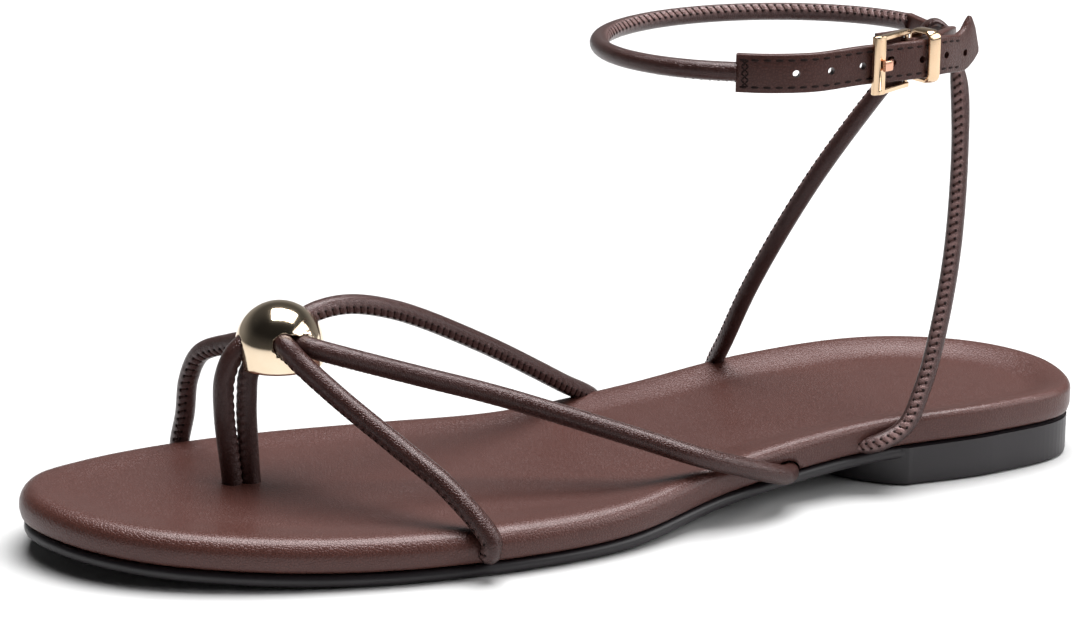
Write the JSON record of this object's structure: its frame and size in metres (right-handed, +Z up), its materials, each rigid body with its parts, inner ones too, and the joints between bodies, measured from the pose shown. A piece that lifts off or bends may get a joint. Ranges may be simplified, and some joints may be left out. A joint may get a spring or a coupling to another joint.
{
  "type": "toe post sandal",
  "caption": "Flat left sandal with rolled leather cords, a polished metal bead over the toe post and a buckled ankle ring.",
  "frame": {"origin": "middle of the bounding box, on the floor under the sole", "axes": "+Z up from the floor, +Y towards the heel, +X towards the lateral side of the left foot"},
  "size_m": [0.0884, 0.2496, 0.1084],
  "materials": {
    "brown_leather": "satin",
    "dark_rubber": "satin",
    "pale_gold": "polished"
  },
  "bodies": {
    "root": {"outsole": "dark_rubber", "footbed": "brown_leather", "front_straps": "brown_leather", "bead": "pale_gold", "heel_cord": "brown_leather", "ankle_cord": "brown_leather", "ankle_strap": "brown_leather", "buckle_tab": "brown_leather", "buckle_frame": "pale_gold", "buckle_prong": "pale_gold", "keeper": "pale_gold"}
  },
  "joints": []
}
